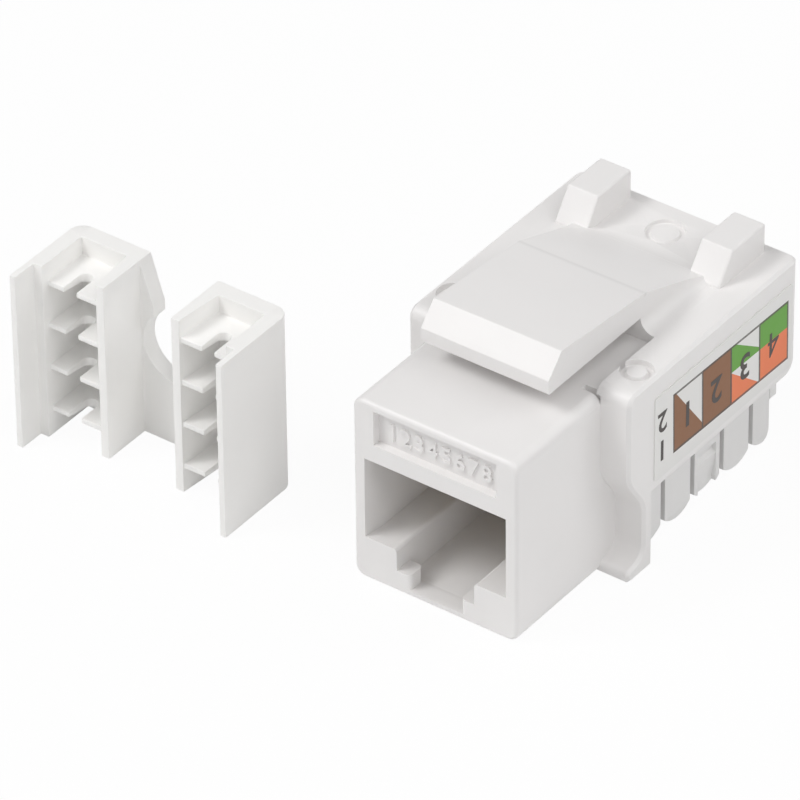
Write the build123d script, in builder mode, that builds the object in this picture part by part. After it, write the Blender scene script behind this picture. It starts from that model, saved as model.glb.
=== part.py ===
from build123d import *
import os

# Right-angle data jack for a snap-in wall plate, with its two-wing dust cap stood beside it.
# Millimetres. X runs across the port, Y from the port face into the body, Z up.
# The origin is the middle of the port face's lower edge.

os.makedirs("parts", exist_ok=True)

# Port block, the nose that fills the wall plate
face_width = 14.5
face_height = 16.0
block_corner = 0.9
face_edge = 0.35

# Plug port in the nose, with its ledges, latch-tab channel and stop nibs
port_width = 11.9
port_ledge = 3.8
ledge_round = 0.3
port_drop = 5.15
mouth_width = 12.5
mouth_lead = 1.8
channel_width = 6.9
channel_floor = 0.55
nib_gap = 4.5
nib_top = 1.9
nib_depth = 1.6
nib_round = 0.4
lintel_wall = 1.4
nose_roof = 1.4

# Marking recess above the port
recess_width = 10.8
recess_height = 3.02
recess_drop = 0.63
recess_depth = 0.7

# Rear body, with a leg down each side of the nose
body_width = 19.54
body_rise = 0.72
flange_front = 10.25
flange_round = 1.0
leg_depth = 2.9
skirt_low = 6.3
skirt_round = 1.5
side_wall = 1.45
back_wall = 1.2
body_roof = 1.92
body_edge = 0.25
body_corner = 0.8
body_overhang = 0.905
foot_round = 0.5
scoop_high = 9.8
scoop_bottom = 5.2
scoop_low = 1.1
scoop_depth = 2.05
scoop_lead = 1.7
scoop_round = 1.5

# Relief slot behind each top corner of the nose
relief_width = 1.7
relief_depth = 0.55
relief_height = 0.7

# Latch arm over the nose and the ramp that carries it
latch_width = 11.2
latch_nose = 6.13
latch_gap = 1.85
nose_height = 1.2
bevel_run = 1.62
bevel_rise = 1.75
arm_fall = 1.05
latch_edge = 0.15
trough_width = 13.7
trough_length = 7.35
crease_set_back = 0.6
ramp_run = 8.4
ramp_fillet = 1.15

# Wedge lugs at the back of the top
lug_width = 2.8
lug_spacing = 11.9
lug_length = 5.95
lug_height = 2.48
lug_set_back = 0.93
lug_step = 0.15
lug_bevel_run = 1.7
lug_edge = 0.2

# Round ejector marks in the top, each a pocket with a low boss
mark_radius = 1.3
mark_boss_radius = 0.9
mark_depth = 0.45
mark_inset = 1.67
mark_set_back = 3.3
rear_mark_radius = 1.55
rear_mark_boss_radius = 1.15
rear_mark_depth = 0.3
rear_mark_from_back = 3.13
boss_drop = 0.1
boss_taper = 25

# Terminal block with two rows of towers and the wire slots between them
pitch = 3.81
pairs_in_row = 4
slot_width = 0.55
tower_inset = 0.32
tower_width = 3.6
tower_root = 4.9
tower_tip = 0.0
tip_rise = 0.6
end_tower = 2.15
end_tower_round = 0.9
row_margin = 0.495
base_clearance = 0.1
apron_low = 3.5
apron_thickness = 0.85
tray_floor = 7.5
tray_side = 1.1
tray_end = 0.5
tray_clearance = 0.1
window_width = 2.3
window_depth = 0.4
window_high = 3.9
ridge_height = 2.9
ridge_slope = 0.25
ridge_inset = 0.05

# Split contacts in the wire slots
blade_thickness = 0.35
blade_width = 2.2
blade_tip = 1.3
slit_width = 0.26
slit_high = 5.6
slit_mouth = 1.1
slit_lead = 0.9
pocket_clearance = 0.05
shoulder_width = 2.8
shoulder_height = 0.8
tail_width = 0.6
tail_reach = 0.8

# Circuit board
board_headroom = 3.9
board_thickness = 1.2
board_clearance = 0.25
hole_clearance = 0.1
hole_sides = 8

# Contact springs
ways = 8
way_pitch = 1.02
spring_width = 0.46
spring_thickness = 0.3
spring_headroom = 1.25
hairpin_corner = 1.0
hairpin_radius = 0.45
tail_radius = 0.6
spring_end_gap = 0.45
spring_end_drop = 2.6
tail_set_back = 0.5
tail_stagger = 2.5
spring_reach = 0.4

# Carrier that spaces the springs and closes the back of the port
carrier_clearance = 0.08
carrier_front = 5.2
carrier_tail_length = 1.55
carrier_plate = 0.8
carrier_rail = 0.8
carrier_wall = 1.02
carrier_width = 14.2
carrier_low = 0.4
comb_length = 1.15
comb_drop = 1.25
comb_slot = 0.62
comb_height = 0.7
spring_gap = 0.03

# Printed wiring label on each side
label_front_gap = 0.25
label_back_gap = 0.93
label_low_gap = 1.15
label_high_gap = 1.82
label_thickness = 0.1
label_corner = 0.3

# Dust cap, stood on its end to the left of the nose
cap_centre = -27.1
cap_tip = -2.2
cap_back = 6.2
cap_length = 15.6
cap_inset = 0.02
wing_width = 6.65
wing_corner = 1.2
outer_wall = 1.3
inner_wall = 1.15
cap_back_wall = 1.45
outer_tip_thickness = 0.55
outer_tip_length = 2.2
inner_tip_thickness = 0.75
inner_tip_set_back = 2.65
rib_edge = 0.45
rib_root = 1.0
rib_set_back = 2.8
rib_slot_width = 1.15
rib_slot_depth = 2.45
bridge_thickness = 1.45
keyhole_radius = 2.95
keyhole_height = 8.65
neck_half = 1.9
neck_height = 11.8

# Places worked out from the sizes above
half_face = face_width / 2
half_body = body_width / 2
half_port = port_width / 2
port_roof = face_height - port_drop
contact_room_roof = face_height - nose_roof
recess_low = face_height - recess_drop - recess_height
body_top = face_height + body_rise
body_room_roof = body_top - body_roof
leg_back = flange_front + leg_depth
scoop_back = flange_front + scoop_depth
carrier_back = leg_back + carrier_clearance + carrier_wall
base_front = carrier_back + base_clearance
base_top = skirt_low - base_clearance
row_front = base_front + row_margin
slot_places = [row_front + end_tower + slot_width / 2 + n * pitch for n in range(pairs_in_row)]
row_back = slot_places[-1] + slot_width / 2 + end_tower
body_back = row_back + body_overhang
latch_under = face_height + latch_gap
latch_root = flange_front + trough_length
latch_crease = latch_root + crease_set_back
crease_height = latch_under + nose_height + bevel_rise - arm_fall
ramp_end = latch_crease + ramp_run
lug_back = body_back - lug_set_back
lug_front = lug_back - lug_length
lug_top = body_top + lug_height
room_half = half_body - side_wall
room_back = body_back - back_wall
tower_outer = room_half - tower_inset
tower_inner = tower_outer - tower_width
blade_place = (tower_outer + tower_inner) / 2
tray_half = room_half - tray_clearance
tray_back = room_back - tray_clearance
board_bottom = body_room_roof - board_headroom
board_top = board_bottom + board_thickness
board_half = tray_half - board_clearance
board_front = base_front + board_clearance
board_back = tray_back - board_clearance
spring_top = contact_room_roof - spring_headroom
spring_end = leg_back - spring_end_gap
spring_end_height = port_roof - spring_end_drop
carrier_tail = base_front + carrier_tail_length
comb_front = leg_back - comb_length
comb_low = spring_end_height - comb_drop
near_tail = carrier_tail + tail_set_back
far_tail = near_tail + tail_stagger
way_places = [(n - (ways - 1) / 2) * way_pitch for n in range(ways)]
tail_places = [near_tail if n % 2 == 0 else far_tail for n in range(ways)]
comb_places = [(n - ways / 2) * way_pitch for n in range(ways + 1)]
comb_tooth = way_pitch - comb_slot
label_front = leg_back + label_front_gap
label_back = body_back - label_back_gap
label_low = skirt_low + label_low_gap
label_high = body_top - label_high_gap


def front_plane(depth):
    """Plane square to the port's axis at a depth, drawn in X and Z, facing the port's front."""
    return Plane.XZ.offset(-depth)


def at(place):
    """Range that holds one place, for picking edges and corners."""
    return place - 0.01, place + 0.01


def within(reach):
    """Range from minus a reach to plus it, for picking edges."""
    return -reach - 0.01, reach + 0.01


# Latch arm and the ramp behind it, drawn from the side
with BuildPart() as latch:
    with BuildSketch(Plane.YZ):
        with BuildLine():
            Polyline(
                (latch_nose, latch_under),
                (latch_nose, latch_under + nose_height),
                (latch_nose + bevel_run, latch_under + nose_height + bevel_rise),
                (latch_crease, crease_height),
                (latch_root, crease_height),
                (latch_root, latch_under),
                close=True,
            )
        make_face()
    extrude(amount=latch_width / 2, both=True)
    fillet(latch.edges().filter_by(Axis.X).group_by(Axis.Y)[0:2], latch_edge)

with BuildPart() as ramp:
    with BuildSketch(Plane.YZ):
        with BuildLine():
            Polyline(
                (latch_root, face_height),
                (latch_root, crease_height),
                (latch_crease, crease_height),
                (ramp_end, body_top),
                (ramp_end, face_height),
                close=True,
            )
        make_face()
    extrude(amount=half_face, both=True)
    # Flanks curve out to meet the top of the body
    with BuildSketch(front_plane(latch_root)) as flank:
        with Locations((0, face_height)):
            Rectangle(latch_width, crease_height - face_height, align=(Align.CENTER, Align.MIN))
            Rectangle(face_width, body_top - face_height, align=(Align.CENTER, Align.MIN))
        inner_corners = flank.vertices().filter_by_position(Axis.Y, *at(body_top))
        fillet(inner_corners.sort_by(Axis.X)[1:3], ramp_fillet)
    extrude(amount=latch_root - ramp_end, mode=Mode.INTERSECT)

# One wedge lug, drawn from the side
with BuildPart() as lug:
    with BuildSketch(Plane.YZ):
        with BuildLine():
            Polyline(
                (lug_front, face_height),
                (lug_front, body_top + lug_step),
                (lug_front + lug_bevel_run, lug_top),
                (lug_back, lug_top),
                (lug_back, face_height),
                close=True,
            )
        make_face()
    extrude(amount=lug_width / 2, both=True)
    fillet(lug.edges().filter_by_position(Axis.Z, face_height + 0.1, lug_top + 0.1), lug_edge)

# Housing: nose, rear body, legs, latch and lugs are one moulding
with BuildPart() as housing:
    # Rear body and legs with their scooped fronts, drawn from the side
    with BuildSketch(Plane.YZ) as side:
        with BuildLine():
            Polyline(
                (flange_front, scoop_high),
                (flange_front, body_top),
                (body_back, body_top),
                (body_back, skirt_low),
                (leg_back, skirt_low),
                (leg_back, 0),
                (flange_front, 0),
                (flange_front, scoop_low),
            )
            Bezier(
                (flange_front, scoop_low),
                (scoop_back, scoop_low),
                (scoop_back, scoop_low + scoop_round),
            )
            Line((scoop_back, scoop_low + scoop_round), (scoop_back, scoop_bottom))
            Bezier(
                (scoop_back, scoop_bottom),
                (scoop_back, scoop_bottom + scoop_lead),
                (flange_front, scoop_high - scoop_lead),
                (flange_front, scoop_high),
            )
        make_face()
        fillet(side.vertices().group_by(Axis.X)[0].sort_by(Axis.Y)[0:2], foot_round)
        fillet(side.vertices().group_by(Axis.X)[0].sort_by(Axis.Y)[-1], flange_round)
        fillet(side.vertices().group_by(Axis.X)[-1].sort_by(Axis.Y)[0], skirt_round)
    extrude(amount=half_body, both=True)
    fillet(housing.edges().filter_by(Axis.Z).group_by(Axis.Y)[-1], body_corner)
    chamfer(housing.edges().filter_by(Axis.Y).group_by(Axis.Z)[-1], body_edge)
    # Room for the terminal block and the circuit board
    with BuildSketch(Plane.XY.offset(skirt_low)):
        with Locations((0, (leg_back + room_back) / 2)):
            Rectangle(2 * room_half, room_back - leg_back)
    extrude(amount=body_room_roof - skirt_low, mode=Mode.SUBTRACT)
    # Nose
    with BuildSketch(front_plane(0)):
        with Locations((0, face_height / 2)):
            RectangleRounded(face_width, face_height, block_corner)
    extrude(amount=-leg_back)
    fillet(housing.edges().group_by(Axis.Y)[0], face_edge)
    # Port, with a mouth that narrows inwards
    with BuildSketch(front_plane(0)):
        with Locations((0, port_ledge)):
            Rectangle(port_width, port_roof - port_ledge, align=(Align.CENTER, Align.MIN))
    extrude(amount=-leg_back, mode=Mode.SUBTRACT)
    with BuildSketch(Plane.XY.offset(port_ledge)):
        with BuildLine():
            Polyline(
                (mouth_width / 2, 0),
                (half_port, mouth_lead),
                (-half_port, mouth_lead),
                (-mouth_width / 2, 0),
                close=True,
            )
        make_face()
    extrude(amount=port_roof - port_ledge, mode=Mode.SUBTRACT)
    # Contact room above the port, behind the lintel
    with BuildSketch(front_plane(lintel_wall)):
        with Locations((0, port_ledge)):
            Rectangle(port_width, contact_room_roof - port_ledge, align=(Align.CENTER, Align.MIN))
    extrude(amount=lintel_wall - leg_back, mode=Mode.SUBTRACT)
    # Channel for the plug's latch tab, with a nib each side of its mouth
    with BuildSketch(front_plane(0)):
        with Locations((0, nib_top)):
            Rectangle(channel_width, port_ledge - nib_top, align=(Align.CENTER, Align.MIN))
        with Locations((0, channel_floor)):
            Rectangle(nib_gap, nib_top - channel_floor, align=(Align.CENTER, Align.MIN))
    extrude(amount=-leg_back, mode=Mode.SUBTRACT)
    with BuildSketch(front_plane(nib_depth)):
        with Locations((0, channel_floor)):
            Rectangle(channel_width, nib_top - channel_floor, align=(Align.CENTER, Align.MIN))
    extrude(amount=nib_depth - leg_back, mode=Mode.SUBTRACT)
    nib_sides = housing.edges().filter_by(Axis.Z).filter_by_position(Axis.X, *within(nib_gap / 2))
    fillet(nib_sides, nib_round)
    ledge_edges = housing.edges().filter_by(Axis.Y).filter_by_position(Axis.Z, *at(port_ledge))
    fillet(ledge_edges.filter_by_position(Axis.X, *within(channel_width / 2)), ledge_round)
    # Marking recess
    with BuildSketch(front_plane(0)):
        with Locations((0, recess_low)):
            Rectangle(recess_width, recess_height, align=(Align.CENTER, Align.MIN))
    extrude(amount=-recess_depth, mode=Mode.SUBTRACT)
    # Trough under the latch arm, level with the top of the nose
    with BuildSketch(Plane.XY.offset(face_height)):
        with Locations((0, flange_front)):
            Rectangle(trough_width, trough_length, align=(Align.CENTER, Align.MIN))
    extrude(amount=body_top - face_height, mode=Mode.SUBTRACT)
    # Relief slots
    with BuildSketch(Plane.XY.offset(face_height)):
        with Locations((half_face, flange_front)):
            Rectangle(relief_width, relief_depth, align=(Align.MAX, Align.MIN))
        mirror(about=Plane.YZ)
    extrude(amount=-relief_height, mode=Mode.SUBTRACT)
    add(ramp.part)
    add(latch.part)
    with Locations((lug_spacing / 2, 0, 0), (-lug_spacing / 2, 0, 0)):
        add(lug.part)
    # Ejector marks
    mark_place = flange_front + mark_set_back
    wing_marks = [(half_body - mark_inset, mark_place), (mark_inset - half_body, mark_place)]
    rear_marks = [(0, body_back - rear_mark_from_back)]
    for places, radius, boss_radius, depth in (
        (wing_marks, mark_radius, mark_boss_radius, mark_depth),
        (rear_marks, rear_mark_radius, rear_mark_boss_radius, rear_mark_depth),
    ):
        with BuildSketch(Plane.XY.offset(body_top)):
            with Locations(places):
                Circle(radius)
        extrude(amount=-depth, mode=Mode.SUBTRACT)
        with BuildSketch(Plane.XY.offset(body_top - depth)):
            with Locations(places):
                Circle(boss_radius)
        extrude(amount=depth - boss_drop, taper=boss_taper)

# Terminal block: base, towers and the tray that carries the board
with BuildPart() as terminal_block:
    with BuildSketch(Plane.XY.offset(tower_root)):
        with Locations((0, base_front)):
            Rectangle(2 * tower_outer, body_back - base_front, align=(Align.CENTER, Align.MIN))
    extrude(amount=base_top - tower_root)
    with BuildSketch(Plane.XY.offset(base_top)):
        with Locations((0, base_front)):
            Rectangle(2 * tray_half, tray_back - base_front, align=(Align.CENTER, Align.MIN))
    extrude(amount=board_bottom - base_top)
    # Tray above the floor
    with BuildSketch(Plane.XY.offset(tray_floor)):
        with Locations((0, base_front + tray_end)):
            Rectangle(
                2 * (tray_half - tray_side),
                tray_back - base_front - 2 * tray_end,
                align=(Align.CENTER, Align.MIN),
            )
    extrude(amount=board_bottom - tray_floor, mode=Mode.SUBTRACT)
    # Apron below the back edge
    with BuildSketch(Plane.XY.offset(apron_low)):
        with Locations((0, body_back)):
            Rectangle(2 * tower_outer, apron_thickness, align=(Align.CENTER, Align.MAX))
    extrude(amount=tower_root - apron_low)
    # Towers of one row, then the wire slots between them
    tower_depth = pitch - slot_width
    with BuildSketch(Plane.YZ.offset(tower_inner)) as row:
        with Locations((row_front, tower_tip)):
            Rectangle(row_back - row_front, tower_root - tower_tip, align=(Align.MIN, Align.MIN))
        fillet(row.vertices().group_by(Axis.Y)[0], end_tower_round)
        for place in [slot_places[0] + (n - 0.5) * pitch for n in range(pairs_in_row + 1)]:
            with BuildLine():
                Line(
                    (place - pitch / 2, tower_tip),
                    (place - tower_depth / 2, tower_tip + tip_rise),
                )
                ThreePointArc(
                    (place - tower_depth / 2, tower_tip + tip_rise),
                    (place, tower_tip),
                    (place + tower_depth / 2, tower_tip + tip_rise),
                )
                Line(
                    (place + tower_depth / 2, tower_tip + tip_rise),
                    (place + pitch / 2, tower_tip),
                )
                Polyline(
                    (place + pitch / 2, tower_tip),
                    (place + pitch / 2, tower_tip - 1),
                    (place - pitch / 2, tower_tip - 1),
                    (place - pitch / 2, tower_tip),
                )
            make_face(mode=Mode.SUBTRACT)
        with Locations([(place, tower_tip) for place in slot_places]):
            Rectangle(slot_width, tower_root - tower_tip, align=(Align.CENTER, Align.MIN), mode=Mode.SUBTRACT)
    extrude(amount=tower_outer - tower_inner)
    # Window in the middle tower and the ramp below it, over which the dust cap snaps
    window_place = (slot_places[0] + slot_places[-1]) / 2
    with BuildSketch(front_plane(window_place)):
        with BuildLine():
            Polyline(
                (tower_outer + window_depth, window_high),
                (tower_outer - window_depth, window_high),
                (tower_outer - window_depth, ridge_height + ridge_slope),
                (tower_outer - ridge_inset, ridge_height),
                (tower_outer - window_depth, tower_tip),
                (tower_outer + window_depth, tower_tip),
                close=True,
            )
        make_face()
    extrude(amount=window_width / 2, both=True, mode=Mode.SUBTRACT)
    # Pockets for the split contacts
    with BuildSketch(Plane.XY.offset(blade_tip - pocket_clearance)):
        with Locations([(blade_place, place) for place in slot_places]):
            Rectangle(blade_thickness + 2 * pocket_clearance, blade_width + 2 * pocket_clearance)
    extrude(amount=tray_floor - blade_tip + pocket_clearance, mode=Mode.SUBTRACT)
    # The other row mirrors this one
    split(bisect_by=Plane.YZ, keep=Keep.TOP)
    mirror(about=Plane.YZ)

# Circuit board, with eight-sided holes for the contacts and the springs
tail_hole = ((tail_width / 2) ** 2 + (blade_thickness / 2) ** 2) ** 0.5 + hole_clearance
spring_hole = ((spring_width / 2) ** 2 + (spring_thickness / 2) ** 2) ** 0.5 + hole_clearance
with BuildPart() as circuit_board:
    with BuildSketch(Plane.XY.offset(board_bottom)):
        with Locations((0, board_front)):
            Rectangle(2 * board_half, board_back - board_front, align=(Align.CENTER, Align.MIN))
        with Locations([(side * blade_place, place) for side in (1, -1) for place in slot_places]):
            RegularPolygon(tail_hole, hole_sides, major_radius=False, mode=Mode.SUBTRACT)
        with Locations(list(zip(way_places, tail_places))):
            RegularPolygon(spring_hole, hole_sides, major_radius=False, mode=Mode.SUBTRACT)
    extrude(amount=board_thickness)

# Carrier: plate under the springs, comb for their ends, and the wall behind the port
plate_top = spring_top - spring_thickness / 2 - spring_gap
plate_bottom = plate_top - carrier_plate
carrier_half = half_port - carrier_clearance
with BuildPart() as contact_carrier:
    with BuildSketch(Plane.XY.offset(plate_bottom)):
        with Locations((0, carrier_front)):
            Rectangle(2 * carrier_half, carrier_tail - carrier_front, align=(Align.CENTER, Align.MIN))
    extrude(amount=carrier_plate)
    with BuildSketch(Plane.XY.offset(carrier_low)):
        with Locations((0, carrier_back)):
            Rectangle(
                carrier_width,
                carrier_back - leg_back - carrier_clearance,
                align=(Align.CENTER, Align.MAX),
            )
    extrude(amount=plate_bottom - carrier_low)
    # Side rails under the roof of the contact room
    with BuildSketch(Plane.XY.offset(plate_top)):
        with Locations((carrier_half, carrier_front)):
            Rectangle(carrier_rail, leg_back - carrier_front, align=(Align.MAX, Align.MIN))
        with Locations((-carrier_half, carrier_front)):
            Rectangle(carrier_rail, leg_back - carrier_front, align=(Align.MIN, Align.MIN))
    extrude(amount=contact_room_roof - carrier_clearance - plate_top)
    # Low ribs between the springs on the plate, and comb teeth at their ends
    with BuildSketch(Plane.XY.offset(plate_top)):
        with Locations([(place, carrier_front) for place in comb_places]):
            Rectangle(comb_tooth, carrier_tail - carrier_front, align=(Align.CENTER, Align.MIN))
    extrude(amount=comb_height)
    with BuildSketch(Plane.XY.offset(comb_low)):
        with Locations([(place, comb_front) for place in comb_places]):
            Rectangle(comb_tooth, leg_back + carrier_clearance - comb_front, align=(Align.CENTER, Align.MIN))
    extrude(amount=plate_bottom - comb_low)


def contact_spring(place, tail):
    """Bent strip from its soldered tail, over the carrier and down into the port."""
    with BuildPart() as spring:
        with BuildLine(Plane.YZ.offset(place)) as path:
            FilletPolyline(
                (tail, board_bottom - spring_reach),
                (tail, spring_top),
                (hairpin_corner, spring_top),
                (spring_end, spring_end_height),
                radius=[tail_radius, hairpin_radius],
            )
        with BuildSketch(Plane(origin=(place, tail, board_bottom - spring_reach))):
            Rectangle(spring_width, spring_thickness)
        sweep(path=path.line)
    return spring


def split_contact(side, place):
    """Flat blade, slit to grip a wire, with a shoulder on the tray floor and a tail in the board."""
    with BuildPart() as contact:
        with BuildSketch(Plane.YZ.offset(side * blade_place)):
            with Locations((place, blade_tip)):
                Rectangle(blade_width, tray_floor - blade_tip, align=(Align.CENTER, Align.MIN))
            with Locations((place, tray_floor)):
                Rectangle(shoulder_width, shoulder_height, align=(Align.CENTER, Align.MIN))
                Rectangle(tail_width, board_top + tail_reach - tray_floor, align=(Align.CENTER, Align.MIN))
            with Locations((place, blade_tip)):
                Rectangle(
                    slit_width,
                    slit_high - blade_tip,
                    align=(Align.CENTER, Align.MIN),
                    mode=Mode.SUBTRACT,
                )
            with BuildLine():
                Polyline(
                    (place - slit_mouth / 2, blade_tip),
                    (place, blade_tip + slit_lead),
                    (place + slit_mouth / 2, blade_tip),
                    close=True,
                )
            make_face(mode=Mode.SUBTRACT)
        extrude(amount=blade_thickness / 2, both=True)
    return contact


def wiring_label(side):
    """Sticker on one side of the body."""
    with BuildPart() as label:
        with BuildSketch(Plane.YZ.offset(side * half_body)):
            with Locations(((label_front + label_back) / 2, (label_low + label_high) / 2)):
                RectangleRounded(label_back - label_front, label_high - label_low, label_corner)
        extrude(amount=side * label_thickness)
    return label


# Comb ribs of the dust cap, level on top and thin at the front edge, for one wing and then the other
cap_plane = Plane(origin=(cap_centre, 0, 0))
cap_half = half_body - cap_inset
wing_inside = cap_half - wing_width
channel_outer = cap_half - outer_wall
channel_inner = wing_inside + inner_wall
channel_back = cap_back - cap_back_wall
rib_front = cap_tip + rib_set_back
rib_slot_end = rib_front + rib_slot_depth - rib_slot_width / 2
rib_levels = [cap_length / 2 + (n - (pairs_in_row - 1) / 2) * pitch for n in range(pairs_in_row)]
with BuildPart() as ribs:
    for level in rib_levels:
        with BuildSketch(Plane.YZ.offset(wing_inside + inner_tip_thickness)):
            with BuildLine():
                Polyline(
                    (rib_front, level + rib_root / 2),
                    (channel_back, level + rib_root / 2),
                    (channel_back, level - rib_root / 2),
                    (rib_front, level + rib_root / 2 - rib_edge),
                    close=True,
                )
            make_face()
        extrude(amount=channel_outer - wing_inside - inner_tip_thickness)
    # Slot in each rib that clears the split contact
    with BuildSketch(Plane.XY):
        with Locations(((channel_outer + channel_inner) / 2, rib_front)):
            Rectangle(rib_slot_width, rib_slot_end - rib_front, align=(Align.CENTER, Align.MIN))
        with Locations(((channel_outer + channel_inner) / 2, rib_slot_end)):
            Circle(rib_slot_width / 2)
    extrude(amount=cap_length, mode=Mode.SUBTRACT)
    mirror(about=Plane.YZ)

# Dust cap: two channel-shaped wings with comb ribs, joined by a notched bridge
with BuildPart() as dust_cap:
    # Wings and bridge, drawn from the end
    with BuildSketch(cap_plane) as wings:
        with BuildLine():
            Polyline(
                (cap_half, cap_back),
                (cap_half, cap_tip),
                (cap_half - outer_tip_thickness, cap_tip),
                (cap_half - outer_tip_thickness, cap_tip + outer_tip_length),
                (channel_outer, cap_tip + outer_tip_length),
                (channel_outer, channel_back),
                (channel_inner, channel_back),
                (wing_inside + inner_tip_thickness, cap_tip + inner_tip_set_back),
                (wing_inside, cap_tip + inner_tip_set_back),
                (wing_inside, cap_back),
                close=True,
            )
        make_face()
        fillet(wings.vertices().group_by(Axis.Y)[-1].sort_by(Axis.X)[-1], wing_corner)
        mirror(about=Plane.YZ)
        with Locations((0, cap_back)):
            Rectangle(2 * wing_inside, bridge_thickness, align=(Align.CENTER, Align.MAX))
    extrude(amount=cap_length)
    with Locations((cap_centre, 0, 0)):
        add(ribs.part)
    # Cable notch in the bridge
    with BuildSketch(Plane(origin=(cap_centre, cap_back, 0), x_dir=(1, 0, 0), z_dir=(0, -1, 0))):
        with Locations((0, keyhole_height)):
            Circle(keyhole_radius)
        with BuildLine():
            Polyline(
                (-neck_half, keyhole_height),
                (-neck_half, neck_height),
                (-wing_inside, cap_length),
                (wing_inside, cap_length),
                (neck_half, neck_height),
                (neck_half, keyhole_height),
                close=True,
            )
        make_face()
    extrude(amount=bridge_thickness, mode=Mode.SUBTRACT)

pieces = {
    "housing": housing,
    "terminal_block": terminal_block,
    "circuit_board": circuit_board,
    "contact_carrier": contact_carrier,
    "dust_cap": dust_cap,
    "wiring_label_right": wiring_label(1),
    "wiring_label_left": wiring_label(-1),
}
for way in range(ways):
    pieces[f"contact_spring_{way + 1}"] = contact_spring(way_places[way], tail_places[way])
for number, place in enumerate(slot_places):
    pieces[f"idc_contact_{number + 1}"] = split_contact(1, place)
    pieces[f"idc_contact_{number + 1 + pairs_in_row}"] = split_contact(-1, place)

for name, piece in pieces.items():
    piece.part.label = name
    export_step(piece.part, f"parts/{name}.step")
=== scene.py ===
"""Keystone data jack and its dust cap: moulded finishes, printed labels, numerals and studio.

Places are in metres in the jack's own frame: X across the port, Y from the port face into the
body, Z up.
"""
import logging
import math
from dataclasses import dataclass, field
from enum import Enum
from typing import Any

import bpy
from mathutils import Matrix, Vector, kdtree


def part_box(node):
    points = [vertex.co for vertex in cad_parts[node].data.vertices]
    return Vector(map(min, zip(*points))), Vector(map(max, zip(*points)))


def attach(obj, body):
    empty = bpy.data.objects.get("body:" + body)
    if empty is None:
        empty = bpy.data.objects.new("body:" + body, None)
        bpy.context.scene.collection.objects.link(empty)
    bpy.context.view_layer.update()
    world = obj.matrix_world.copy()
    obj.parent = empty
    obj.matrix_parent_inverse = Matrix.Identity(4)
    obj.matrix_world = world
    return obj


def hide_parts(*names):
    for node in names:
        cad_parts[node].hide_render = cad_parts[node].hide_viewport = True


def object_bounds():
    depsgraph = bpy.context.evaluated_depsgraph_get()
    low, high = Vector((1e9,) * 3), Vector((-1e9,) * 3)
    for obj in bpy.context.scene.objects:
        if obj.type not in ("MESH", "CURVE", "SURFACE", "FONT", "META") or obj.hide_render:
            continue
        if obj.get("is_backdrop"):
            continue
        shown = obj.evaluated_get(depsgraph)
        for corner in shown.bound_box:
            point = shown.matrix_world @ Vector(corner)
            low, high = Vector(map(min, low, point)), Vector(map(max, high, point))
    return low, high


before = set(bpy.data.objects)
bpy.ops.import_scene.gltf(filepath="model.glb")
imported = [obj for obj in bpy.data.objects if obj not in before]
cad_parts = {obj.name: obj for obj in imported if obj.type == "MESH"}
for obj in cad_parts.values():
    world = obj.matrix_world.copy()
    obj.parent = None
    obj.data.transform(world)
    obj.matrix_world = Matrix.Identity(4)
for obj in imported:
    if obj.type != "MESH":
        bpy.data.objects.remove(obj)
log = logging.getLogger("jack")

MM = 0.001
Colour = tuple[float, float, float]

# The ways of the port, each with its spring, its wire contact and its raised numeral.
WAYS = 8

# The widths of the eased edges.
HOUSING_EDGE = 0.1 * MM
BLOCK_EDGE = 0.09 * MM
CAP_EDGE = 0.09 * MM
CARRIER_EDGE = 0.05 * MM
METAL_EDGE = 0.03 * MM


def srgb(red: int, green: int, blue: int) -> Colour:
    """Turn a colour as a screen shows it into the linear colour that a shader takes.

    Args:
        red: red from 0 to 255.
        green: green from 0 to 255.
        blue: blue from 0 to 255.

    Returns:
        The linear red, green and blue from 0 to 1, by the sRGB curve.
    """
    shares = [part / 255 for part in (red, green, blue)]
    return tuple(s / 12.92 if s <= 0.04045 else ((s + 0.055) / 1.055) ** 2.4 for s in shares)


def tinted(colour: Colour, factor: float, lift: float = 0.0) -> Colour:
    """Lighten or darken a colour.

    Args:
        colour: the linear colour.
        factor: what each of its parts is multiplied by.
        lift: what is then added to each part.

    Returns:
        The lighter or darker colour.
    """
    return tuple(part * factor + lift for part in colour)


WHITE = srgb(238, 236, 235)
BLOCK_WHITE = srgb(233, 232, 231)
CAP_WHITE = srgb(248, 247, 245)
# Painted shade: the carrier at the far end of the port gets a dark warm grey, darker than the
# white mouldings, so that the deep port reads dark.
CARRIER_GREY_AND_SHADE = srgb(126, 112, 102)
PAPER = srgb(231, 230, 228)
OUTLINE = srgb(66, 58, 52)
INK = srgb(62, 56, 54)
GREEN = srgb(90, 157, 38)
ORANGE = srgb(234, 122, 71)
BROWN = srgb(132, 84, 44)
BLUE = srgb(70, 104, 168)
GOLD: Colour = (0.83, 0.6, 0.24)
TIN: Colour = (0.72, 0.7, 0.66)
LACQUER: Colour = (0.02, 0.12, 0.05)
LIGHT: Colour = (1.0, 1.0, 1.0)


class Side(Enum):
    """The two sides of the body, by the sign of X."""

    RIGHT = 1
    LEFT = -1


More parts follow.
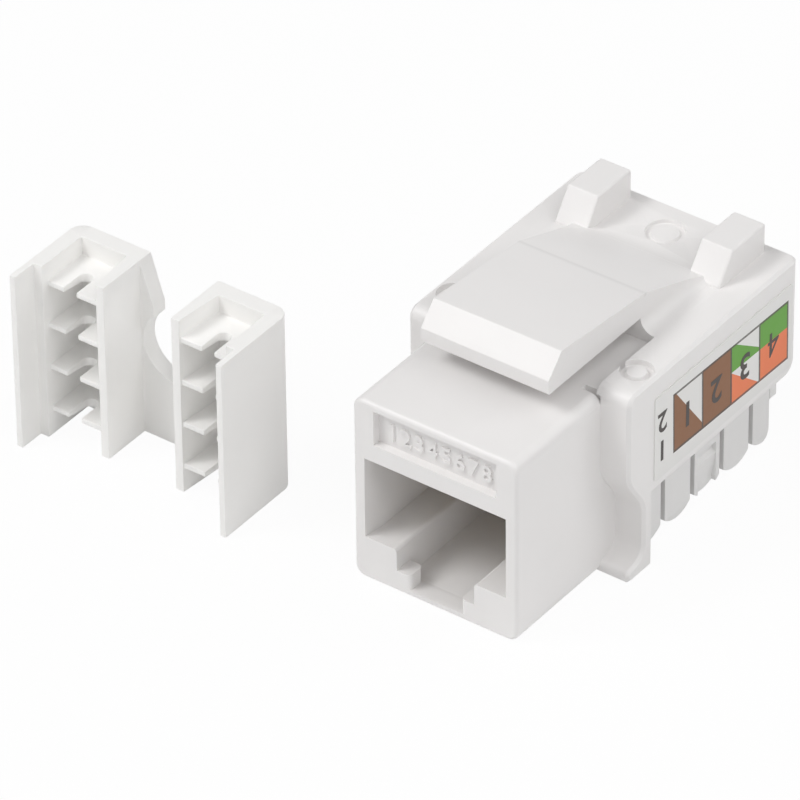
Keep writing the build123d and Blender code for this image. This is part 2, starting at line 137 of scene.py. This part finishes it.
class Value:
    """A number, colour or vector on a socket, on which arithmetic adds Math nodes."""

    def __init__(self, recipe: "Recipe", socket: bpy.types.NodeSocket) -> None:
        """Hold the socket and the recipe that it belongs to."""
        self.recipe = recipe
        self.socket = socket

    def math(self, operation: str, *others: Any) -> "Value":
        """Add a Math node fed by this value.

        Args:
            operation: the Math node's operation.
            others: the other operands, values or numbers.

        Returns:
            The node's result.
        """
        operands = {index: operand for index, operand in enumerate((self, *others))}
        return self.recipe.node("ShaderNodeMath", {"operation": operation}, operands)

    def flipped(self, operation: str, first: float) -> "Value":
        """Add a Math node with a plain number as its first operand."""
        return self.recipe.node("ShaderNodeMath", {"operation": operation}, {0: first, 1: self})

    def __add__(self, other: Any) -> "Value":
        """Sum."""
        return self.math("ADD", other)

    def __radd__(self, other: float) -> "Value":
        """Sum with a plain number first."""
        return self.flipped("ADD", other)

    def __sub__(self, other: Any) -> "Value":
        """Difference."""
        return self.math("SUBTRACT", other)

    def __rsub__(self, other: float) -> "Value":
        """Difference with a plain number first."""
        return self.flipped("SUBTRACT", other)

    def __mul__(self, other: Any) -> "Value":
        """Product."""
        return self.math("MULTIPLY", other)

    def __rmul__(self, other: float) -> "Value":
        """Product with a plain number first."""
        return self.flipped("MULTIPLY", other)

    def __truediv__(self, other: Any) -> "Value":
        """Quotient."""
        return self.math("DIVIDE", other)

    def __lt__(self, other: Any) -> "Value":
        """One where this is below the other, else nought."""
        return self.math("LESS_THAN", other)

    def __gt__(self, other: Any) -> "Value":
        """One where this is above the other, else nought."""
        return self.math("GREATER_THAN", other)

    def fraction(self) -> "Value":
        """The part after the decimal point."""
        return self.math("FRACT")

    def size(self) -> "Value":
        """The value without its sign."""
        return self.math("ABSOLUTE")

    def either(self, other: Any) -> "Value":
        """The greater of two values: one where at least one of them is one."""
        return self.math("MAXIMUM", other)

    def between(self, low: float, high: float) -> "Value":
        """One where this lies between two numbers, else nought."""
        return (self > low) * (self < high)


def spread(middle: float, span: float, noise: Value) -> Value:
    """Let a noise move a number evenly to both sides of its middle.

    Args:
        middle: the number where the noise is a half.
        span: how far apart the lowest and the highest result are.
        noise: a value from 0 to 1.

    Returns:
        The number as it changes over the surface.
    """
    return middle - span / 2 + span * noise


class Recipe:
    """The node tree of a material or a world, built from expressions."""

    def __init__(self, owner: bpy.types.Material | bpy.types.World) -> None:
        """Start with an empty tree.

        Args:
            owner: the new material or world.
        """
        owner.use_nodes = True
        self.owner = owner
        self.tree = owner.node_tree
        self.tree.nodes.clear()

    def node(self, kind: str, settings: dict[str, Any] | None = None,
             inputs: dict[str | int, Any] | None = None, output: str | int = 0) -> Value:
        """Add one node.

        Args:
            kind: the node's type.
            settings: the node's own settings, set before its sockets.
            inputs: values, colours or numbers for its sockets, by name or number.
            output: the output to return, by name or number.

        Returns:
            The value on that output.
        """
        node = self.tree.nodes.new(kind)
        for name, setting in (settings or {}).items():
            setattr(node, name, setting)
        for key, given in (inputs or {}).items():
            socket = node.inputs[key]
            if isinstance(given, Value):
                self.tree.links.new(given.socket, socket)
            elif isinstance(given, tuple) and len(given) == 3 and socket.type == "RGBA":
                socket.default_value = (*given, 1.0)
            else:
                socket.default_value = given
        return Value(self, node.outputs[output])

    def mix(self, factor: Any, below: Any, above: Any) -> Value:
        """Blend two colours.

        Args:
            factor: how much of the upper colour, from 0 to 1.
            below: the colour at 0.
            above: the colour at 1.

        Returns:
            The blended colour.
        """
        settings = {"data_type": "RGBA"}
        return self.node("ShaderNodeMix", settings, {0: factor, 6: below, 7: above}, output=2)

    def place(self) -> Value:
        """The shaded point's place in the object's own metres."""
        return self.node("ShaderNodeTexCoord", output="Object")

    def side_place(self) -> tuple[Value, Value]:
        """The shaded point's place as the side view shows it: into the body, and up."""
        depth = self.node("ShaderNodeSeparateXYZ", None, {0: self.place()}, output=1)
        return depth, Value(self, depth.socket.node.outputs[2])

    def noise(self, scale: float, detail: float = 2.0) -> Value:
        """Smooth noise over the object.

        Args:
            scale: waves per metre.
            detail: octaves.

        Returns:
            A number that averages a half.
        """
        inputs = {"Vector": self.place(), "Scale": scale, "Detail": detail}
        return self.node("ShaderNodeTexNoise", None, inputs)

    def bump(self, height: Value, depth: float, strength: float,
             over: Value | None = None) -> Value:
        """Turn a height into a normal.

        Args:
            height: the height from 0 to 1.
            depth: the metres that a height of 1 stands for.
            strength: how much of it shows.
            over: the normal that it lies on, where that is bent already.

        Returns:
            The bent normal.
        """
        inputs = {"Height": height, "Distance": depth, "Strength": strength}
        if over is not None:
            inputs["Normal"] = over
        return self.node("ShaderNodeBump", None, inputs)

    def surface(self, inputs: dict[str, Any]) -> bpy.types.Material:
        """Finish a material with a Principled surface.

        Args:
            inputs: the surface's values by socket name.

        Returns:
            The finished material.
        """
        self.close(self.node("ShaderNodeBsdfPrincipled", None, inputs))
        return self.owner

    def close(self, shader: Value, kind: str = "ShaderNodeOutputMaterial") -> None:
        """Lead a shader to the output.

        Args:
            shader: the finished shader.
            kind: the output node's type.
        """
        output = self.tree.nodes.new(kind)
        self.tree.links.new(shader.socket, output.inputs["Surface"])


@dataclass(frozen=True)
class PaintedCreaseShade:
    """Painted shade: a faint dark line painted into the colour along the latch arm, where its
    plate turns down to the body.
    """

    along: float = 18.2 * MM
    above: float = 19.5 * MM
    width: float = 0.3 * MM
    shade: float = 0.11
    paint: Colour = (0.1, 0.1, 0.1)

    def amount(self, recipe: Recipe) -> Value:
        """Say how much painted shade the line puts on each point.

        Args:
            recipe: the material that has the line.

        Returns:
            Nought away from the line, up to the shade on it.
        """
        depth, height = recipe.side_place()
        near = 1.0 - (depth - self.along).size() / self.width
        return near.either(0.0) * (height > self.above) * self.shade


@dataclass(frozen=True)
class Moulding:
    """Plastic as it comes from the mould: a fine grain and slow waves from its cooling."""

    name: str
    colour: Colour
    roughness: float = 0.4
    # A painted shade line that darkens the colour along a crease, where one is given.
    crease: PaintedCreaseShade | None = None
    roughness_span: float = 0.12
    refraction: float = 1.5
    cloud_scale: float = 160.0
    mottle: float = 0.03
    grain_scale: float = 9000.0
    grain_depth: float = 0.02 * MM
    grain: float = 0.25
    wave_scale: float = 260.0
    wave_depth: float = 0.25 * MM
    waves: float = 0.35

    def material(self) -> bpy.types.Material:
        """Build the finish.

        Returns:
            The finished material.
        """
        recipe = Recipe(bpy.data.materials.new(self.name))
        cloud = recipe.noise(self.cloud_scale, detail=3.0)
        fine = recipe.noise(self.grain_scale)
        slow = recipe.noise(self.wave_scale, detail=1.0)
        paint = recipe.mix(cloud, tinted(self.colour, 1 - self.mottle), self.colour)
        # Painted shade: the colour darkens along the crease line.
        if self.crease:
            paint = recipe.mix(self.crease.amount(recipe), paint, self.crease.paint)
        waved = recipe.bump(slow, self.wave_depth, self.waves)
        return recipe.surface({
            "Base Color": paint,
            "Roughness": spread(self.roughness, self.roughness_span, fine),
            "IOR": self.refraction,
            "Normal": recipe.bump(fine, self.grain_depth, self.grain, waved),
        })


@dataclass(frozen=True)
class Plating:
    """Plated contact metal, with the faint lines of its rolling."""

    name: str
    colour: Colour
    roughness: float = 0.25
    roughness_span: float = 0.1
    line_scale: tuple[float, float, float] = (9000.0, 700.0, 700.0)
    wear: float = 0.86

    def material(self) -> bpy.types.Material:
        """Build the finish.

        Returns:
            The finished material.
        """
        recipe = Recipe(bpy.data.materials.new(self.name))
        stretched = recipe.node("ShaderNodeMapping", None, {
            "Vector": recipe.place(), "Scale": self.line_scale,
        })
        lines = recipe.node("ShaderNodeTexNoise", None, {
            "Vector": stretched, "Scale": 1.0, "Detail": 2.0,
        })
        return recipe.surface({
            "Base Color": recipe.mix(lines, tinted(self.colour, self.wear), self.colour),
            "Metallic": 1.0,
            "Roughness": spread(self.roughness, self.roughness_span, lines),
        })


@dataclass(frozen=True)
class SolderMask:
    """Green lacquer over the copper and glass of the board."""

    name: str
    colour: Colour
    roughness: float = 0.35
    roughness_span: float = 0.1
    weave_scale: float = 2600.0
    weave_depth: float = 0.01 * MM
    weave: float = 0.4
    paler: float = 1.5

    def material(self) -> bpy.types.Material:
        """Build the finish.

        Returns:
            The finished material.
        """
        recipe = Recipe(bpy.data.materials.new(self.name))
        weave = recipe.noise(self.weave_scale)
        return recipe.surface({
            "Base Color": recipe.mix(weave, self.colour, tinted(self.colour, self.paler)),
            "Roughness": spread(self.roughness, self.roughness_span, weave),
            "Normal": recipe.bump(weave, self.weave_depth, self.weave),
        })


@dataclass(frozen=True)
class Ink:
    """Dull printing ink, thinner in patches."""

    name: str
    colour: Colour
    roughness: float = 0.55
    roughness_span: float = 0.1
    patch_scale: float = 3000.0
    thinner: float = 1.35
    thinner_lift: float = 0.01

    def material(self) -> bpy.types.Material:
        """Build the finish.

        Returns:
            The finished material.
        """
        recipe = Recipe(bpy.data.materials.new(self.name))
        patchy = recipe.noise(self.patch_scale)
        thin = tinted(self.colour, self.thinner, self.thinner_lift)
        return recipe.surface({
            "Base Color": recipe.mix(patchy, self.colour, thin),
            "Roughness": spread(self.roughness, self.roughness_span, patchy),
        })


@dataclass(frozen=True)
class WiringPrint:
    """The sticker's four boxes: two for one pair, then two split for the two wiring orders.

    The corners that the boxes' colours fill are in shares of a box: its width along, and its
    height up, which the two orders divide at the split.
    """

    name: str
    paper: Colour
    line: Colour
    pair: Colour
    upper: Colour
    lower: Colour
    front: float = 15.77 * MM
    back: float = 30.5 * MM
    low: float = 8.52 * MM
    high: float = 13.85 * MM
    tilt: float = 0.022
    boxes: int = 4
    line_width: float = 0.2 * MM
    line_reach: float = 0.02
    line_wear: float = 0.25
    wedge: float = 0.95
    wedge_top: float = 1.06
    split: float = 0.55
    upper_corner: float = 1.12
    lower_corner: float = 1.0
    roughness: float = 0.42
    roughness_span: float = 0.12
    speck_scale: float = 2500.0
    speck_depth: float = 0.01 * MM
    specks: float = 0.3

    @property
    def box_width(self) -> float:
        """The width of one box."""
        return (self.back - self.front) / self.boxes

    @property
    def centre(self) -> tuple[float, float]:
        """The middle of the four boxes, along the body and up."""
        return (self.front + self.back) / 2, (self.low + self.high) / 2

    def material(self) -> bpy.types.Material:
        """Build the print from the point's place along and up the label.

        Returns:
            The finished material.
        """
        recipe = Recipe(bpy.data.materials.new(self.name))
        depth, height = recipe.side_place()
        centre, middle = self.centre
        tall = self.high - self.low
        along = (depth - self.front + (height - middle) * self.tilt) / self.box_width
        up = (height - self.low + (depth - centre) * self.tilt) / tall
        inside = along.between(0.0, float(self.boxes)) * up.between(0.0, 1.0)
        across = along.fraction()
        corner = (up + across * self.wedge) < self.wedge_top
        low_half = up < self.split
        upper_corner = ((up - self.split) / (1 - self.split) + across) < self.upper_corner
        lower_corner = (up / self.split + across) < self.lower_corner
        half_corner = low_half * lower_corner + (1.0 - low_half) * upper_corner
        order = recipe.mix(low_half, self.upper, self.lower)
        print_now = recipe.mix(along.between(0.0, 1.0) * corner, self.paper, self.pair)
        print_now = recipe.mix(along.between(1.0, 2.0), print_now, self.pair)
        print_now = recipe.mix(along.between(2.0, 3.0) * half_corner, print_now, order)
        print_now = recipe.mix(along.between(3.0, 4.0), print_now, order)
        half_line = self.line_width / 2 / self.box_width
        upright = ((along + 0.5).fraction() - 0.5).size() < half_line
        edge_share = self.line_width / tall
        level = (up < edge_share).either(up > 1 - edge_share)
        reach = along.between(-self.line_reach, self.boxes + self.line_reach)
        lines = upright.either(level) * (reach * up.between(0.0, 1.0))
        printed = recipe.mix(inside, self.paper, print_now)
        speck = recipe.noise(self.speck_scale, detail=3.0)
        worn = lines * (1 - self.line_wear + self.line_wear * speck)
        return recipe.surface({
            "Base Color": recipe.mix(worn, printed, self.line),
            "Roughness": spread(self.roughness, self.roughness_span, speck),
            "Normal": recipe.bump(speck, self.speck_depth, self.specks),
        })


@dataclass
class Dresser:
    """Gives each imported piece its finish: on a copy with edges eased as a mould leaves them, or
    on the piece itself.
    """

    smooth_angle: float = math.radians(32)
    edge_angle: float = math.radians(34)
    crease_angle: float = math.radians(10)
    flat_angle: float = math.radians(0.5)
    merge: float = 0.0005 * MM
    edge_segments: int = 2
    face_weight: int = 100

    @staticmethod
    def only(piece: bpy.types.Object) -> None:
        """Select one object and nothing else.

        Args:
            piece: the object.
        """
        bpy.ops.object.select_all(action="DESELECT")
        piece.select_set(True)
        bpy.context.view_layer.objects.active = piece

    @staticmethod
    def lookup(mesh: bpy.types.Mesh) -> kdtree.KDTree:
        """Make the tree that finds a mesh's vertices by their place.

        Args:
            mesh: the mesh.

        Returns:
            The tree, which gives the vertices' numbers in the mesh.
        """
        tree = kdtree.KDTree(len(mesh.vertices))
        for vertex in mesh.vertices:
            tree.insert(vertex.co, vertex.index)
        tree.balance()
        return tree

    def creases(self, source: bpy.types.Mesh) -> list[tuple[Vector, Vector]]:
        """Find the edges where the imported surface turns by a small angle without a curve.

        Args:
            source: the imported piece's mesh, whose corners hold the true normals of its surface.

        Returns:
            The two ends of each such edge.
        """
        ends = self.lookup(source)
        first = [min(found[1] for found in ends.find_range(vertex.co, self.merge))
                 for vertex in source.vertices]
        sides: dict[tuple[int, int], list[tuple[Vector, Vector]]] = {}
        for face in source.polygons:
            corners = list(face.loop_indices)
            for pair in zip(corners, corners[1:] + corners[:1]):
                key = tuple(first[source.loops[corner].vertex_index] for corner in pair)
                normals = [Vector(source.corner_normals[corner].vector) for corner in pair]
                if key[0] > key[1]:
                    key, normals = key[::-1], normals[::-1]
                sides.setdefault(key, []).append(tuple(normals))
        found = []
        for (start, end), pairs in sides.items():
            if start != end and len(pairs) == 2:
                turn = max(one.angle(other, 0.0) for one, other in zip(*pairs))
                if self.crease_angle < turn < self.edge_angle:
                    vertices = source.vertices
                    found.append((vertices[start].co.copy(), vertices[end].co.copy()))
        return found

    def mark(self, mesh: bpy.types.Mesh, creases: list[tuple[Vector, Vector]]) -> None:
        """Mark creases as sharp on a merged copy, by the places of their ends.

        Args:
            mesh: the copy's mesh.
            creases: the two ends of each crease.
        """
        ends = self.lookup(mesh)
        wanted = {tuple(sorted((ends.find(start)[1], ends.find(end)[1])))
                  for start, end in creases}
        for edge in mesh.edges:
            if tuple(sorted(edge.vertices)) in wanted:
                edge.use_edge_sharp = True

    def clean(self, piece: bpy.types.Object, creases: list[tuple[Vector, Vector]]) -> None:
        """Merge the copy's corners, keep its creases and lay its flat faces out anew.

        Args:
            piece: the copy, selected and active.
            creases: the two ends of each crease.
        """
        bpy.ops.mesh.customdata_custom_splitnormals_clear()
        bpy.ops.object.mode_set(mode="EDIT")
        bpy.ops.mesh.select_all(action="SELECT")
        bpy.ops.mesh.remove_doubles(threshold=self.merge)
        bpy.ops.mesh.normals_make_consistent(inside=False)
        bpy.ops.object.mode_set(mode="OBJECT")
        self.mark(piece.data, creases)
        bpy.ops.object.mode_set(mode="EDIT")
        bpy.ops.mesh.select_all(action="SELECT")
        bpy.ops.mesh.dissolve_limited(angle_limit=self.flat_angle, delimit={"SHARP"})
        bpy.ops.mesh.quads_convert_to_tris(quad_method="BEAUTY", ngon_method="BEAUTY")
        bpy.ops.mesh.select_all(action="DESELECT")
        bpy.ops.object.mode_set(mode="OBJECT")

    def ease(self, piece: bpy.types.Object, edge: float) -> None:
        """Bevel the sharp edges and shade the faces between them flat.

        Args:
            piece: the copy, selected and active.
            edge: the width of the eased edges in metres.
        """
        bevel = piece.modifiers.new("eased_edges", "BEVEL")
        bevel.width = edge
        bevel.segments = self.edge_segments
        bevel.limit_method = "ANGLE"
        bevel.angle_limit = self.edge_angle
        bevel.loop_slide = False
        bpy.ops.object.modifier_apply(modifier=bevel.name)
        bpy.ops.object.shade_smooth_by_angle(angle=self.smooth_angle, keep_sharp_edges=True)
        flat = piece.modifiers.new("flat_faces", "WEIGHTED_NORMAL")
        flat.keep_sharp = True
        flat.weight = self.face_weight
        bpy.ops.object.modifier_apply(modifier=flat.name)

    def eased(self, node: str, name: str, edge: float, material: bpy.types.Material) -> None:
        """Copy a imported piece, ease its edges and show it in the piece's place.

        Args:
            node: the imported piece.
            name: the copy's name.
            edge: the width of the eased edges in metres.
            material: the finish.
        """
        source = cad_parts[node]
        piece = bpy.data.objects.new(name, source.data.copy())
        bpy.context.scene.collection.objects.link(piece)
        self.only(piece)
        creases = self.creases(source.data)
        self.clean(piece, creases)
        self.ease(piece, edge)
        piece.data.materials.clear()
        piece.data.materials.append(material)
        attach(piece, "root")
        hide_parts(node)
        log.info("%s: %d faces, %d creases", name, len(piece.data.polygons), len(creases))

    def painted(self, node: str, material: bpy.types.Material) -> None:
        """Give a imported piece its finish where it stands.

        Args:
            node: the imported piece.
            material: the finish.
        """
        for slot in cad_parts[node].material_slots:
            slot.material = material
        log.info("%s: painted as packed", node)


@dataclass
class Numerals:
    """Plain numerals: raised in the recess over the port, and printed on the labels.

    Their strokes are widened by the boldness, a share of the letter size. The 4 keeps its own
    stroke, because its counter closes up when it is widened. The order numerals stand ahead of
    the label's boxes, one for each wiring order.
    """

    dresser: Dresser
    boldness: float = 0.015
    curve_steps: int = 4
    recess_floor: float = 0.7 * MM
    recess_middle: float = 13.55 * MM
    recess_reach: float = 4.15 * MM
    raised_size: float = 2.0 * MM
    raised_height: float = 0.17 * MM
    print_size: float = 3.1 * MM
    print_share: float = 0.48
    print_height: float = 0.012 * MM
    order_size: float = 2.5 * MM
    order_ahead: float = 1.45 * MM
    order_above: float = 1.12 * MM
    order_below: float = 1.45 * MM
    upright: Matrix = field(default_factory=lambda: Matrix.Rotation(math.radians(90), 4, "X"))

    def numeral(self, text: str, name: str, size: float, depth: float, turn: Matrix,
                material: bpy.types.Material) -> None:
        """Make one numeral, set it on its surface and let it ride on the jack.

        Args:
            text: the numeral.
            name: the piece's name.
            size: the letter size in metres.
            depth: how far it stands out in metres.
            turn: its place, with the text's plane on the surface.
            material: the finish.
        """
        bpy.ops.object.select_all(action="DESELECT")
        bpy.ops.object.text_add(location=(0, 0, 0))
        piece = bpy.context.active_object
        piece.name = name
        piece.data.body = text
        piece.data.size = size
        piece.data.align_x = "CENTER"
        piece.data.align_y = "CENTER"
        piece.data.resolution_u = self.curve_steps
        piece.data.extrude = depth / 2
        piece.data.offset = 0.0 if text == "4" else self.boldness * size
        bpy.ops.object.convert(target="MESH")
        piece.data.transform(turn @ Matrix.Translation((0, 0, depth / 2)))
        self.dresser.only(piece)
        bpy.ops.object.shade_smooth_by_angle(angle=self.dresser.smooth_angle)
        piece.data.materials.clear()
        piece.data.materials.append(material)
        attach(piece, "root")
        log.info("%s: %d faces", name, len(piece.data.polygons))

    def raise_in_recess(self, material: bpy.types.Material) -> None:
        """Set one raised numeral for each way of the port on the recess floor.

        Args:
            material: the finish.
        """
        for way in range(WAYS):
            across = (way / (WAYS - 1) * 2 - 1) * self.recess_reach
            place = Matrix.Translation((across, self.recess_floor, self.recess_middle))
            self.numeral(str(way + 1), f"raised_numeral_{way + 1}", self.raised_size,
                         self.raised_height, place @ self.upright, material)

    def print_on_label(self, side: Side, first: int, layout: WiringPrint,
                       material: bpy.types.Material) -> None:
        """Print a numeral in each box of a label, head down, and two ahead of the boxes.

        Args:
            side: the side of the body.
            first: the numeral in the box nearest the port.
            layout: the label's boxes.
            material: the ink.
        """
        low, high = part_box("wiring_label_right" if side is Side.RIGHT else "wiring_label_left")
        face = high.x if side is Side.RIGHT else low.x
        outward = Matrix.Rotation(math.radians(90 * side.value), 4, "Z")
        head_down = Matrix.Rotation(math.radians(180), 4, "Z")
        centre, middle = layout.centre
        marks = [(str(first + n), layout.front + (n + self.print_share) * layout.box_width,
                  middle, self.print_size) for n in range(layout.boxes)]
        ahead = layout.front - self.order_ahead
        marks += [("2", ahead, middle + self.order_above, self.order_size),
                  ("1", ahead, middle - self.order_below, self.order_size)]
        for count, (text, along, height, size) in enumerate(marks):
            tilted = height - (along - centre) * layout.tilt
            place = Matrix.Translation((face, along, tilted))
            self.numeral(text, f"printed_numeral_{side.name.lower()}_{count + 1}", size,
                         self.print_height, place @ outward @ self.upright @ head_down,
                         material)


@dataclass(frozen=True)
class Lamp:
    """One soft square lamp: the direction to it, its width and the light that it adds."""

    name: str
    toward: tuple[float, float, float]
    strength: float
    size: float = 0.7
    away: float = 0.7


# The width of the two lamps that leave an edge to their shadows.
NARROW = 0.25

LAMPS = (
    Lamp("left_key_lamp", (-0.6, -0.6, 1.0), 0.42, size=NARROW),
    Lamp("left_high_lamp", (-0.6, -0.6, 1.0), 0.225),
    Lamp("front_high_lamp", (0.0, -1.0, 1.1), 0.12),
    Lamp("right_high_lamp", (0.8, 0.2, 1.0), 0.37),
    Lamp("right_front_lamp", (1.0, -0.8, 0.7), 0.25),
    Lamp("right_back_lamp", (0.9, 0.9, 0.6), 0.1, size=NARROW),
    Lamp("back_high_lamp", (0.1, 0.9, 1.0), 0.085),
)


@dataclass
class Studio:
    """The pale floor, the white surround, the soft lamps and the camera."""

    azimuth: float = math.radians(36.546)
    elevation: float = math.radians(36.463)
    roll: float = math.radians(-0.615)
    distance: float = 554.78 * MM
    shift_right: float = 2.495 * MM
    shift_up: float = -8.630 * MM
    target: Vector = field(default_factory=lambda: Vector((0, 0, 8 * MM)))
    focal_pixels: float = 7742.2
    image_pixels: float = 800.0
    sensor: float = 36.0
    nearest: float = 0.05
    farthest: float = 20.0
    ambient: float = 0.04
    lamps: tuple[Lamp, ...] = LAMPS
    floor_drop: float = 0.03 * MM
    floor_reach: float = 3.0
    floor_colour: Colour = (0.9, 0.9, 0.9)
    floor_glow: float = 0.95

    def camera(self) -> None:
        """Place the camera as the photograph was taken."""
        flat, rise = math.cos(self.elevation), math.sin(self.elevation)
        ahead, aside = math.cos(self.azimuth), math.sin(self.azimuth)
        back = Vector((aside * flat, -ahead * flat, rise))
        level = Vector((ahead, aside, 0))
        above = back.cross(level)
        right = math.cos(self.roll) * level + math.sin(self.roll) * above
        up = -math.sin(self.roll) * level + math.cos(self.roll) * above
        data = bpy.data.cameras.new("camera")
        data.sensor_fit = "HORIZONTAL"
        data.sensor_width = self.sensor
        data.lens = self.focal_pixels / self.image_pixels * self.sensor
        data.clip_start = self.nearest
        data.clip_end = self.farthest
        camera = bpy.data.objects.new("camera", data)
        place = self.target + self.distance * back - self.shift_right * right - self.shift_up * up
        turn = Matrix((right, up, back)).transposed().to_4x4()
        camera.matrix_world = Matrix.Translation(place) @ turn
        bpy.context.scene.collection.objects.link(camera)
        bpy.context.scene.camera = camera

    def seen(self, recipe: Recipe) -> Value:
        """Tell the rays by which a thing is seen from those that light it.

        Args:
            recipe: the material or world that asks.

        Returns:
            One for rays from the camera, a mirror or a glass, else nought.
        """
        direct = recipe.node("ShaderNodeLightPath", output="Is Camera Ray")
        path = direct.socket.node
        glossy = Value(recipe, path.outputs["Is Glossy Ray"])
        through = Value(recipe, path.outputs["Is Transmission Ray"])
        return direct.either(glossy).either(through)

    def surround(self) -> None:
        """White where it is seen, and a plain soft light elsewhere."""
        recipe = Recipe(bpy.data.worlds.new("surround"))
        strength = self.seen(recipe) * (1.0 - self.ambient) + self.ambient
        light = recipe.node("ShaderNodeBackground", None, {"Color": LIGHT, "Strength": strength})
        recipe.close(light, "ShaderNodeOutputWorld")
        bpy.context.scene.world = recipe.owner

    def floor(self) -> None:
        """A pale floor that keeps a faint shadow, and glows where it is seen."""
        bpy.ops.object.select_all(action="DESELECT")
        bpy.ops.mesh.primitive_plane_add(size=2 * self.floor_reach,
                                         location=(0, 0, -self.floor_drop))
        floor = bpy.context.active_object
        floor.name = "studio_floor"
        recipe = Recipe(bpy.data.materials.new("pale_floor"))
        matt = recipe.node("ShaderNodeBsdfDiffuse", None, {"Color": self.floor_colour})
        glow = recipe.node("ShaderNodeEmission", None, {"Color": LIGHT, "Strength": 1.0})
        share = self.seen(recipe) * self.floor_glow
        recipe.close(recipe.node("ShaderNodeMixShader", None, {0: share, 1: matt, 2: glow}))
        floor.data.materials.append(recipe.owner)
        floor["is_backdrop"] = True

    def hang(self, lamp: Lamp) -> None:
        """Hang one lamp so that it faces the jack.

        Args:
            lamp: the lamp, with its strength as the light that a white face square to it
                sends back.
        """
        data = bpy.data.lights.new(lamp.name, "AREA")
        data.shape = "SQUARE"
        data.size = lamp.size
        data.energy = lamp.strength * math.pi ** 2 * lamp.away ** 2
        hung = bpy.data.objects.new(lamp.name, data)
        direction = Vector(lamp.toward).normalized()
        hung.matrix_world = (Matrix.Translation(self.target + direction * lamp.away)
                             @ direction.to_track_quat("Z", "Y").to_matrix().to_4x4())
        bpy.context.scene.collection.objects.link(hung)

    def build(self) -> None:
        """Set up everything round the jack."""
        self.camera()
        self.surround()
        self.floor()
        for lamp in self.lamps:
            self.hang(lamp)
        bpy.context.scene.view_settings.view_transform = "Standard"


def corners() -> list[list[float]]:
    """The lowest and highest corners of what is shown now."""
    return [list(corner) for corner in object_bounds()]


def main() -> None:
    """Dress the jack, print its labels and set up the studio."""
    logging.basicConfig(level=logging.INFO, format="%(message)s")
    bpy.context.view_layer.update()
    # The housing's colour has a painted shade line along the latch arm's crease.
    housing_finish = Moulding("white_housing", WHITE, crease=PaintedCreaseShade()).material()
    block_finish = Moulding("white_block", BLOCK_WHITE).material()
    cap_finish = Moulding("white_cap", CAP_WHITE).material()
    # The carrier's dark warm grey is painted shade for the deep port.
    carrier_finish_and_shade = Moulding("grey_carrier_and_shade", CARRIER_GREY_AND_SHADE, roughness=0.5).material()
    gold = Plating("gold_plating", GOLD).material()
    tin = Plating("tin_plating", TIN, roughness=0.32).material()
    mask = SolderMask("solder_mask", LACQUER).material()
    ink = Ink("label_ink", INK).material()
    right_print = WiringPrint("right_print", PAPER, OUTLINE, BROWN, GREEN, ORANGE)
    left_print = WiringPrint("left_print", PAPER, OUTLINE, BLUE, ORANGE, GREEN)
    dresser = Dresser()
    dresser.eased("housing", "housing_moulding", HOUSING_EDGE, housing_finish)
    dresser.eased("terminal_block", "terminal_moulding", BLOCK_EDGE, block_finish)
    dresser.eased("dust_cap", "cap_moulding", CAP_EDGE, cap_finish)
    dresser.eased("contact_carrier", "carrier_moulding", CARRIER_EDGE, carrier_finish_and_shade)
    for number in range(1, WAYS + 1):
        dresser.eased(f"contact_spring_{number}", f"gold_spring_{number}", METAL_EDGE, gold)
        dresser.eased(f"idc_contact_{number}", f"tin_contact_{number}", METAL_EDGE, tin)
    dresser.painted("circuit_board", mask)
    dresser.painted("wiring_label_right", right_print.material())
    dresser.painted("wiring_label_left", left_print.material())
    numerals = Numerals(dresser)
    numerals.raise_in_recess(housing_finish)
    numerals.print_on_label(Side.RIGHT, 1, right_print, ink)
    numerals.print_on_label(Side.LEFT, 1 + right_print.boxes, left_print, ink)
    Studio().build()


if __name__ == "__main__":
    main()
